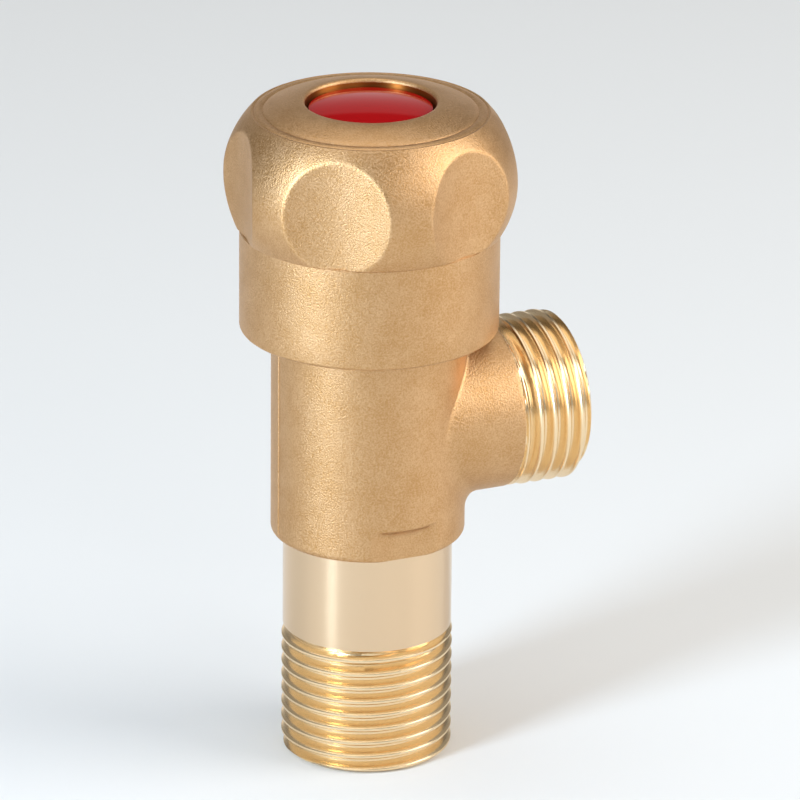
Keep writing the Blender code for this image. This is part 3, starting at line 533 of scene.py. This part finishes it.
def threaded_end(name, thread, bar_radius, thread_length, end_radius, start, section,
                 material):
    """A closed end piece: the thread's skin, joined to a turned bar and its bore.

    The section runs from the end face, through the bore and back to the thread's end.
    """
    tree = bpy.data.node_groups.get("male_thread") or thread_tree()
    holder = bpy.data.objects.new(name, bpy.data.meshes.new(name))
    bpy.context.scene.collection.objects.link(holder)
    modifier = holder.modifiers.new("Thread", "NODES")
    modifier.node_group = tree
    given = {"Major Radius": thread.major_radius, "Depth": thread.depth,
             "Pitch": thread.pitch, "Length": thread_length, "Bar Radius": bar_radius,
             "End Radius": end_radius, "Run Out": thread.run_out,
             "Start": start, "Segments": thread.segments,
             "Turns": math.ceil(thread_length / thread.pitch) + LEAD_TURNS + 1,
             "Rows": thread.rows, "Material": material}
    for item in tree.interface.items_tree:
        if item.in_out == "INPUT":
            modifier[item.identifier] = given[item.name]
    mesh = evaluated_mesh(holder)

    angles = start + np.arange(thread.segments) / thread.segments * math.tau
    points, faces = skin([ring(radius, height, angles) for radius, height in section],
                         closed=False)
    shape = bmesh.new()
    shape.from_mesh(mesh)
    corners = [shape.verts.new(point) for point in points]
    for face in faces:
        shape.faces.new([corners[i] for i in face])
    bmesh.ops.remove_doubles(shape, verts=shape.verts, dist=WELD)
    bmesh.ops.recalc_face_normals(shape, faces=shape.faces)
    shape.to_mesh(mesh)
    shape.free()
    return mesh


def end_section(bar_radius, thread_length, end_radius, bore, top):
    """Section of an end piece: face, bore chamfer, bore, buried shoulder and bar."""
    chamfer = 0.35 * MM
    buried = 0.3 * MM
    halfway = (top + thread_length) / 2
    return [(end_radius, 0), (bore + chamfer, 0), (bore, chamfer), (bore, top),
            (bore + buried, top), (bore + buried, top + buried),
            (bar_radius, top + buried), (bar_radius, top),
            (bar_radius, halfway), (bar_radius, thread_length)]


class VALVE_OT_threaded_ends(Operator):
    """Make the bright inlet shank with its thread, and the outlet's thread"""

    bl_idname = "valve.threaded_ends"
    bl_label = "Threaded ends"

    def execute(self, context):
        settings = context.scene.valve
        thread, body, finish = settings.thread, settings.body, settings.finish
        outlet_reach = BODY_HIGH[0]
        shank = turned_brass("turned_brass_shank", finish.turned, 2, 0.2)
        cut = plain_finish("cut_thread_brass", finish.thread, 0.25, 0.3 * MM, metallic=1.0)
        section = end_section(body.shank_radius, body.inlet_thread, body.inlet_end,
                              body.bore, body.barrel_bottom)
        inlet = threaded_end("inlet_end", thread, body.shank_radius, body.inlet_thread,
                             body.inlet_end, body.inlet_start, section, cut)
        piece = finished("inlet_end", inlet, shank, FIXED, ["valve_body"])
        piece.data.materials.append(cut)
        for face in piece.data.polygons:
            on_thread = face.center.z < body.inlet_thread - 0.02 * MM
            face.material_index = int(on_thread)

        band_start = outlet_reach - body.branch_reach
        section = end_section(body.band_radius, body.outlet_thread, body.outlet_end,
                              body.bore, band_start)
        outlet = threaded_end("outlet_end", thread, body.band_radius, body.outlet_thread,
                              body.outlet_end, body.outlet_start, section, cut)
        to_outlet(outlet, outlet_reach, body.branch_height)
        finished("outlet_end", outlet, cut, FIXED, ["valve_body"])
        return {"FINISHED"}


# --- Forging ---------------------------------------------------------------------

def union_round(a, b, radius):
    """Distance to two shapes together, with a fillet between them."""
    inner = np.hypot(np.maximum(radius - a, 0), np.maximum(radius - b, 0))
    return np.maximum(radius, np.minimum(a, b)) - inner


def common_round(a, b, radius):
    """Distance to what two shapes share, with a rounded edge."""
    outer = np.hypot(np.maximum(radius + a, 0), np.maximum(radius + b, 0))
    return np.minimum(-radius, np.maximum(a, b)) + outer


SEAT_WAY = 5 * MM             # radius of the way through the seat
SEAT_DEPTH = 6 * MM           # from the seat down to the wider bore
CHAMBER = 8.7 * MM            # radius of the chamber round the headwork
HEADWORK_BORE = 9.5 * MM      # radius of the bore that the headwork screws into
HEADWORK_THREAD = 15.6 * MM   # from the headwork's foot up to its thread
TOP_EDGE, BRANCH_EDGE, FLAT_EDGE = 0.3 * MM, 0.2 * MM, 0.05 * MM


def forging_distance(points, body, seat, thread_base, top):
    """Distance from each point to the forging's surface, negative inside it."""
    x, y, z = points[:, 0], points[:, 1], points[:, 2]
    out = np.hypot(x, y)
    out_branch = np.hypot(y, z - body.branch_height)
    barrel = common_round(out - body.barrel_radius, body.barrel_bottom - z,
                          body.barrel_edge)
    barrel = common_round(barrel, z - top, TOP_EDGE)
    branch = common_round(out_branch - body.branch_radius, x - body.branch_reach,
                          BRANCH_EDGE)
    rise = np.clip((z - body.branch_height) / body.branch_radius, -1, 1)
    fillet = body.crease + (body.fillet - body.crease) * (0.5 - 0.5 * rise) ** 3
    whole = union_round(barrel, np.maximum(branch, -x), fillet)
    flat = np.maximum(body.barrel_radius - body.flat_depth - np.abs(y),
                      z - body.barrel_bottom - body.flat_height)
    whole = common_round(whole, -flat, FLAT_EDGE)
    ways = np.minimum(out - SEAT_WAY, np.maximum(out - body.bore, z - (seat - SEAT_DEPTH)))
    ways = np.minimum(ways, np.maximum(out - CHAMBER, seat - z))
    ways = np.minimum(ways, np.maximum(out - HEADWORK_BORE, thread_base - z))
    ways = np.minimum(ways, np.maximum(out_branch - body.bore, -x))
    return np.maximum(whole, -ways)


def settle(points, distance, step_limit, rounds=8):
    """Move points on to the surface where a distance function is zero."""
    small = 0.01 * MM
    least_steep, no_length = 0.2, 1e-12
    for _ in range(rounds):
        here = distance(points)
        slope = np.empty_like(points)
        for axis in range(3):
            shift = np.zeros(3)
            shift[axis] = small
            slope[:, axis] = (distance(points + shift) - distance(points - shift))
        slope /= 2 * small
        steep = np.maximum((slope ** 2).sum(axis=1), least_steep)
        move = slope * (here / steep)[:, None]
        far = np.linalg.norm(move, axis=1)
        move *= np.minimum(1, step_limit / np.maximum(far, no_length))[:, None]
        points = points - move
    return points


def bar(name, radius, base, top, turn=None):
    """A plain closed cylinder on the valve axis, or on a turned one."""
    shape = bmesh.new()
    place = Matrix.Translation((0, 0, (base + top) / 2))
    bmesh.ops.create_cone(shape, cap_ends=True, segments=96, radius1=radius,
                          radius2=radius, depth=top - base,
                          matrix=(turn or Matrix()) @ place)
    mesh = bpy.data.meshes.new(name)
    shape.to_mesh(mesh)
    shape.free()
    holder = bpy.data.objects.new(name, mesh)
    bpy.context.scene.collection.objects.link(holder)
    return holder


class VALVE_OT_forging(Operator):
    """Make the sandblasted forging, with its fillets, wrench flats and parting line"""

    bl_idname = "valve.forging"
    bl_label = "Forging"

    def execute(self, context):
        settings = context.scene.valve
        body, finish = settings.body, settings.finish
        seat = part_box("seat_seal")[0][2] - CLEARANCE
        top = BODY_HIGH[2]
        thread_base = BONNET_LOW[2] + HEADWORK_THREAD

        across = (Matrix.Translation((0, 0, body.branch_height))
                  @ Matrix.Rotation(math.radians(90), 4, "Y"))
        blank = bar("forging_blank", body.barrel_radius, body.barrel_bottom, top)
        past, near_axis = 2 * MM, 0.2 * MM
        shapes = (
            ("UNION", bar("branch", body.branch_radius, 0, body.branch_reach, across)),
            ("DIFFERENCE", bar("inlet_way", body.bore, 0, seat - SEAT_DEPTH)),
            ("DIFFERENCE", bar("seat_way", SEAT_WAY, 0, seat + past)),
            ("DIFFERENCE", bar("chamber", CHAMBER, seat, top + past)),
            ("DIFFERENCE", bar("headwork_bore", HEADWORK_BORE, thread_base, top + past)),
            ("DIFFERENCE", bar("outlet_way", body.bore, near_axis,
                               body.branch_reach + past, across)),
        )
        for operation, shape in shapes:
            modifier = blank.modifiers.new(shape.name, "BOOLEAN")
            modifier.operation = operation
            modifier.solver = "EXACT"
            modifier.object = shape
        remesh = blank.modifiers.new("Even mesh", "REMESH")
        remesh.mode = "VOXEL"
        remesh.voxel_size = body.voxel
        mesh = evaluated_mesh(blank)
        for _, shape in shapes:
            bpy.data.objects.remove(shape, do_unlink=True)

        points = np.empty(len(mesh.vertices) * 3)
        mesh.vertices.foreach_get("co", points)
        points = settle(points.reshape(-1, 3),
                        lambda p: forging_distance(p, body, seat, thread_base, top),
                        step_limit=0.3 * MM)
        mesh.vertices.foreach_set("co", points.ravel())
        mesh.update()
        blasted = sandblasted_brass("sandblasted_brass", finish.blasted,
                                    finish.blasted_dark)
        finished("forging", mesh, blasted, FIXED, ["valve_body"], 50)
        self.parting_line(body, top, blasted)
        return {"FINISHED"}

    def parting_line(self, body, top, material):
        """The fine flash line where the two forging dies met, opposite the branch."""
        steps = 12
        sunk, clear_of_edge, under_wheel = 0.05 * MM, 0.3 * MM, 1.5 * MM
        line = bpy.data.curves.new("parting_line", "CURVE")
        line.dimensions = "3D"
        line.bevel_depth = 0.16 * MM
        line.bevel_resolution = 3
        line.use_fill_caps = True
        edge = -body.barrel_radius + sunk
        low = body.barrel_bottom + body.barrel_edge + clear_of_edge
        spline = line.splines.new("POLY")
        spline.points.add(steps)
        for i in range(steps + 1):
            height = low + (top - under_wheel - low) * i / steps
            spline.points[i].co = (edge, 0, height, 1)
        holder = bpy.data.objects.new("parting_line", line)
        bpy.context.scene.collection.objects.link(holder)
        mesh = evaluated_mesh(holder)
        finished("parting_line", mesh, material, FIXED, ["valve_body"], 60)


# --- Handwheel -------------------------------------------------------------------

def wheel_bulge(wheel, height):
    """Radius of the bulge at a height."""
    middle = wheel.top - wheel.bulge_drop
    return (wheel.bulge_radius - wheel.bulge_arc
            + math.sqrt(wheel.bulge_arc ** 2 - (height - middle) ** 2))


def scooped(wheel, radius, angles):
    """A ring's radius at each angle, where the scoops cut into it."""
    pitch = math.tau / wheel.scoops
    off = (angles - wheel.scoop_start + pitch / 2) % pitch - pitch / 2
    centre = wheel.bulge_radius - wheel.scoop_depth + wheel.scoop_arc
    reach = wheel.scoop_arc ** 2 - (centre * np.sin(off)) ** 2
    scoop = centre * np.cos(off) - np.sqrt(np.maximum(reach, 0))
    edge = wheel.scoop_edge
    share = np.clip(0.5 + 0.5 * (scoop - radius) / edge, 0, 1)
    return scoop + (radius - scoop) * share - edge * share * (1 - share)


SCREW_HOLE = 2.3 * MM
SPLINE_TEETH = 20


def wheel_inside(wheel, angles, floor):
    """Section of the wheel's inside: screw hole, splined hub, web and skirt."""
    chamfer, corner = 0.3 * MM, 1.5 * MM
    hub, web = 6.8 * MM, 4.2 * MM
    spline = 4.0 * MM + 0.2 * MM * np.cos(SPLINE_TEETH * angles)
    hub_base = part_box("spindle_circlip")[1][2] + CLEARANCE
    web_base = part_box("spindle")[1][2] + CLEARANCE
    roof = floor - web
    return [(SCREW_HOLE, web_base), (spline, web_base), (spline, hub_base),
            (hub - chamfer, hub_base), (hub, hub_base + chamfer), (hub, roof),
            *arc((wheel.skirt_bore - corner, roof - corner), corner, 90, 0, 8),
            (wheel.skirt_bore, wheel.bottom + chamfer),
            (wheel.skirt_bore + chamfer, wheel.bottom)]


def wheel_skirt(wheel, skirt_top):
    """Section of the skirt's outside, up to the fine step under the bulge."""
    edge, step = 0.45 * MM, 0.08 * MM
    skirt = arc((wheel.skirt_radius - edge, wheel.bottom + edge), edge, -90, 0, 7)
    for share in (0.25, 0.5, 0.75):
        skirt.append((wheel.skirt_radius,
                      wheel.bottom + (skirt_top - wheel.bottom) * share))
    return skirt + [(wheel.skirt_radius, skirt_top - 2 * step),
                    (wheel.skirt_radius - step, skirt_top - 0.1 * MM),
                    (wheel.skirt_radius - step, skirt_top - 0.03 * MM)]


def wheel_crown(wheel, crown_edge, bulge_top):
    """Section of the crown: groove, bead, scored line and the slope to the lip."""
    groove, line = wheel.crown_radius, wheel.crown_radius - wheel.bead_width
    bead_steps, slope_steps = 8, 8
    bead_end = 0.05 * MM
    crown = [(groove + 0.12 * MM, bulge_top), (groove, bulge_top - 0.07 * MM),
             (groove - 0.08 * MM, bulge_top - 0.02 * MM)]
    for i in range(bead_steps + 1):
        share = i / bead_steps
        crown.append((groove - 0.1 * MM + (line + 0.16 * MM - groove) * share,
                      bulge_top + bead_end * share
                      + 0.11 * MM * math.sin(math.pi * share)))
    crown += [(line, bulge_top + bead_end), (line - 0.08 * MM, crown_edge)]
    rim, lip = wheel.recess_radius, wheel.lip
    for i in range(1, slope_steps):
        share = i / slope_steps
        crown.append((line + (rim + lip - line) * share,
                      crown_edge + wheel.crown_drop * (1 - (1 - share) ** 1.6)))
    return crown + arc((rim + lip, wheel.top - lip), lip, 90, 180, 9)


class VALVE_OT_handwheel(Operator):
    """Make the sandblasted handwheel with its scoops, groove and splined hub"""

    bl_idname = "valve.handwheel"
    bl_label = "Handwheel"

    def execute(self, context):
        settings = context.scene.valve
        wheel, finish = settings.wheel, settings.finish
        step = math.tau / wheel.segments
        angles = wheel.scoop_start + np.arange(wheel.segments) * step
        floor = BUTTON_LOW[2] - CLEARANCE
        skirt_top = wheel.top - wheel.bulge_length
        crown_edge = wheel.top - wheel.crown_drop
        bulge_top = crown_edge - 0.14 * MM
        rows = 84
        bulge = []
        for row in range(rows + 1):
            height = skirt_top + (bulge_top - skirt_top) * row / rows
            bulge.append((scooped(wheel, wheel_bulge(wheel, height), angles), height))
        rim, corner = wheel.recess_radius, 0.3 * MM
        recess = [(rim, floor + corner), (rim - corner, floor), (SCREW_HOLE, floor)]
        section = (wheel_inside(wheel, angles, floor) + wheel_skirt(wheel, skirt_top)
                   + bulge + wheel_crown(wheel, crown_edge, bulge_top) + recess)
        rings = [ring(radius * np.ones_like(angles), height, angles)
                 for radius, height in section]
        mesh = build_mesh("handwheel_finished", *skin(rings, closed=True))
        blasted = bpy.data.materials.get("sandblasted_brass") or sandblasted_brass(
            "sandblasted_brass", finish.blasted, finish.blasted_dark)
        piece = finished("handwheel_finished", mesh, blasted, TURNING, ["handwheel"],
                         35)
        # The recess wall and floor get turned, unblasted brass whose dark colour is painted
        # shade inside the recess.
        piece.data.materials.append(turned_brass("recess_unblasted_brass_painted_shade",
                                                 finish.recess, 2, 0.45))
        slack = 0.01 * MM
        for face in piece.data.polygons:
            middle = face.center
            face.material_index = int(math.hypot(middle.x, middle.y) < rim + slack
                                      and floor - slack < middle.z < wheel.top - wheel.lip)
        return {"FINISHED"}


class VALVE_OT_index_button(Operator):
    """Make the glossy red index button"""

    bl_idname = "valve.index_button"
    bl_label = "Index button"

    def execute(self, context):
        settings = context.scene.valve
        button, finish = settings.button, settings.finish
        angles = np.arange(button.segments) / button.segments * math.tau
        low = BUTTON_LOW[2]
        wall, corner, lead, crisp = 1.1 * MM, 0.5 * MM, 0.3 * MM, 0.03 * MM
        inner = button.radius - wall
        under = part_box("handwheel_screw")[1][2] + CLEARANCE
        near_axis = 0.02 * MM
        section = [(near_axis, under), (inner - corner, under),
                   (inner, under - corner), (inner, low), (button.radius - lead, low),
                   (button.radius, low + corner),
                   (button.radius, button.edge - 0.08 * MM)]
        steps = 24
        for i in range(steps + 1):
            share = 1 - i / steps
            radius = near_axis + (button.radius - crisp - near_axis) * share
            section.append((radius, button.edge + button.dome * (1 - share ** 2)))
        rings = [ring(radius, height, angles) for radius, height in section]
        points, faces = skin(rings, closed=True)
        mesh = build_mesh("index_button_finished", points, faces)
        red = plain_finish("polished_red_acrylic", finish.red, 0.06, 0.8 * MM)
        finished("index_button_finished", mesh, red, TURNING, ["index_button"],
                 40)
        return {"FINISHED"}


# --- Headwork inside -------------------------------------------------------------

class VALVE_OT_headwork(Operator):
    """Give the headwork's pieces inside the valve their finishes"""

    bl_idname = "valve.headwork"
    bl_label = "Headwork finishes"

    def execute(self, context):
        finish = context.scene.valve.finish
        brass = turned_brass("turned_brass_headwork", finish.headwork, 2, 0.26)
        steel = spring_steel("stainless_spring_steel")
        ceramic = plain_finish("lapped_alumina", linear("EFEBE0"), 0.18, 0.5 * MM)
        rubber = plain_finish("nitrile_rubber", linear("1C1B1A"), 0.62, 0.4 * MM)
        ptfe = plain_finish("ptfe", linear("F2F1EC"), 0.45, 0.6 * MM)
        acetal = plain_finish("white_acetal", linear("E4E1D8"), 0.38, 0.6 * MM)
        fibre = plain_finish("vulcanised_fibre", linear("8E3A2C"), 0.75, 0.25 * MM)
        finishes = {
            brass: ("headwork_bonnet", "spindle", "stop_washer"),
            steel: ("seal_support_ring", "spindle_circlip", "handwheel_screw",
                    "screw_lock_washer"),
            ceramic: ("fixed_disc", "moving_disc"),
            rubber: ("seat_seal", "spindle_o_ring_lower", "spindle_o_ring_upper"),
            ptfe: ("thrust_washer",),
            acetal: ("noise_damper",),
            fibre: ("bonnet_gasket",),
        }
        for material, names in finishes.items():
            for name in names:
                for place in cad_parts[name].material_slots:
                    place.material = material
        return {"FINISHED"}


# --- Stage -----------------------------------------------------------------------

def softbox(name, centre, width, height, watts, aim=(0, 0, 0.045), tint=(1, 1, 1)):
    """A rectangular area light that faces the valve."""
    light = bpy.data.lights.new(name, "AREA")
    light.shape = "RECTANGLE"
    light.size, light.size_y = width, height
    light.energy = watts
    light.color = tint
    lamp = bpy.data.objects.new(name, light)
    bpy.context.scene.collection.objects.link(lamp)
    lamp.location = centre
    facing = Vector(aim) - Vector(centre)
    lamp.rotation_euler = facing.to_track_quat("-Z", "Y").to_euler()
    return lamp


def around(camera_azimuth, degrees, distance, height):
    """A place beside the valve, at an angle to the right of the camera's direction."""
    angle = camera_azimuth - math.pi / 2 + math.radians(degrees)
    return distance * math.cos(angle), distance * math.sin(angle), height


def studio_camera(stage, back):
    """A long-lens camera that looks at the valve from a direction."""
    data = bpy.data.cameras.new("studio_camera")
    data.lens = stage.lens
    data.sensor_width = 36
    data.shift_x = stage.shift_x
    data.shift_y = stage.shift_y
    data.clip_end = 20
    camera = bpy.data.objects.new("studio_camera", data)
    camera.location = Vector((0, 0, stage.aim_height)) + back * stage.distance
    look = (-back).to_track_quat("-Z", "Y").to_matrix().to_4x4()
    camera.rotation_euler = (look @ Matrix.Rotation(stage.roll, 4, "Z")).to_euler()
    return camera


def paper_floor(colour):
    """A wide sheet of matt pale paper, just under the valve."""
    mesh = bpy.data.meshes.new("floor")
    shape = bmesh.new()
    bmesh.ops.create_grid(shape, x_segments=1, y_segments=1, size=3.0,
                          matrix=Matrix.Translation((0, 0, -0.05 * MM)))
    shape.to_mesh(mesh)
    shape.free()
    paper, _, shader = new_material("white_paper_floor")
    shader.inputs["Base Color"].default_value = (*colour, 1)
    shader.inputs["Roughness"].default_value = 0.9
    mesh.materials.append(paper)
    return bpy.data.objects.new("floor", mesh)


def pale_sky(back):
    """Even pale light, with one low card far behind the valve.

    The card is brightest at its foot and stops at a clean edge, with a dark gap over it.
    Its image is what the glossy button shows.
    """
    card_top, card_edge = 0.42, 0.44
    even, gap, foot, head = 0.3, 0.04, 1.1, 0.15
    world = bpy.data.worlds.new("pale_studio")
    world.use_nodes = True
    tree = world.node_tree
    way = add_node(tree, "ShaderNodeTexCoord").outputs["Generated"]
    up = add_node(tree, "ShaderNodeSeparateXYZ", {"Vector": way}).outputs["Z"]
    level_back = Vector((-back.x, -back.y, 0)).normalized()
    sideways = level_back.cross(Vector((0, 0, 1)))
    behind, beside = (add_node(tree, "ShaderNodeVectorMath", {0: way, 1: direction},
                               operation="DOT_PRODUCT").outputs["Value"]
                      for direction in (level_back, sideways))
    off = add_node(tree, "ShaderNodeMath", {0: beside}, operation="ABSOLUTE").outputs[0]
    across = 1.0
    for value, nothing, full in ((off, 0.45, 0.35), (behind, 0.0, 0.1), (up, 0.75, 0.6)):
        span = add_node(tree, "ShaderNodeMapRange", {
            "Value": value, "From Min": nothing, "From Max": full})
        across = add_node(tree, "ShaderNodeMath", {0: across, 1: span.outputs["Result"]},
                          operation="MULTIPLY").outputs[0]
    fall = add_node(tree, "ShaderNodeMapRange", {
        "Value": up, "From Min": 0.05, "From Max": card_top, "To Min": 1, "To Max": 0})
    edge = add_node(tree, "ShaderNodeMapRange", {
        "Value": up, "From Min": card_top, "From Max": card_edge, "To Min": 1, "To Max": 0})
    glow = fall.outputs["Result"]
    for operation, *terms in (("POWER", 2.0), ("MULTIPLY_ADD", foot, head),
                              ("MULTIPLY", edge.outputs["Result"]), ("ADD", gap)):
        glow = add_node(tree, "ShaderNodeMath", dict(enumerate((glow, *terms))),
                        operation=operation).outputs[0]
    strength = add_node(tree, "ShaderNodeMix", {"Factor": across, "A": even, "B": glow})
    sky = tree.nodes["Background"].inputs
    sky["Color"].default_value = (1, 0.985, 0.96, 1)
    tree.links.new(strength.outputs["Result"], sky["Strength"])
    return world


class VALVE_OT_stage(Operator):
    """Set up the camera, the pale floor and the soft studio light"""

    bl_idname = "valve.stage"
    bl_label = "Stage"

    def execute(self, context):
        settings = context.scene.valve
        stage, finish = settings.stage, settings.finish
        back = Vector((math.sin(stage.azimuth) * math.cos(stage.elevation),
                       -math.cos(stage.azimuth) * math.cos(stage.elevation),
                       math.sin(stage.elevation)))
        camera = studio_camera(stage, back)
        context.scene.collection.objects.link(camera)
        context.scene.camera = camera
        floor = paper_floor(finish.floor)
        context.scene.collection.objects.link(floor)
        context.scene.world = pale_sky(back)
        context.scene.view_settings.view_transform = "Standard"

        turn = stage.azimuth
        softbox("key_strip", around(turn, -47, 0.55, 0.22), 0.13, 0.5, 3.6,
                tint=(0.77, 0.96, 1.18))
        softbox("right_card", around(turn, 80, 0.6, 0.36), 0.46, 0.6, 3.4)
        softbox("front_fill", around(turn, 30, 0.9, 0.45), 0.5, 0.5, 1.2)
        softbox("overhead", (0, 0.15, 0.9), 0.9, 0.9, 2.9)
        return {"FINISHED"}


# --- Panel and registration ------------------------------------------------------

PIECES = ("threaded_ends", "forging", "handwheel", "index_button", "headwork", "stage")


class VALVE_PT_pieces(Panel):
    """Lists the valve's settings and the buttons that make its pieces"""

    bl_idname = "VALVE_PT_pieces"
    bl_label = "Angle stop valve"
    bl_space_type = "VIEW_3D"
    bl_region_type = "UI"
    bl_category = "Valve"

    def draw(self, context):
        for piece in PIECES:
            self.layout.operator(f"valve.{piece}")
        for group in ("thread", "body", "wheel", "button", "finish", "stage"):
            settings = getattr(context.scene.valve, group)
            box = self.layout.box()
            box.label(text=group.capitalize())
            for name in settings.__annotations__:
                box.prop(settings, name)


CLASSES = (ThreadSettings, BodySettings, WheelSettings, ButtonSettings, FinishSettings,
           StageSettings, ValveSettings, VALVE_OT_threaded_ends, VALVE_OT_forging,
           VALVE_OT_handwheel, VALVE_OT_index_button, VALVE_OT_headwork, VALVE_OT_stage,
           VALVE_PT_pieces)


def register():
    """Register the classes and hang the settings on the scene."""
    for cls in CLASSES:
        bpy.utils.register_class(cls)
    bpy.types.Scene.valve = PointerProperty(type=ValveSettings)


def unregister():
    """Take the settings and the classes away again."""
    del bpy.types.Scene.valve
    for cls in reversed(CLASSES):
        bpy.utils.unregister_class(cls)


def main():
    """Register the add-on and make every piece."""
    register()
    for piece in PIECES:
        getattr(bpy.ops.valve, piece)()


if __name__ == "__main__":
    main()
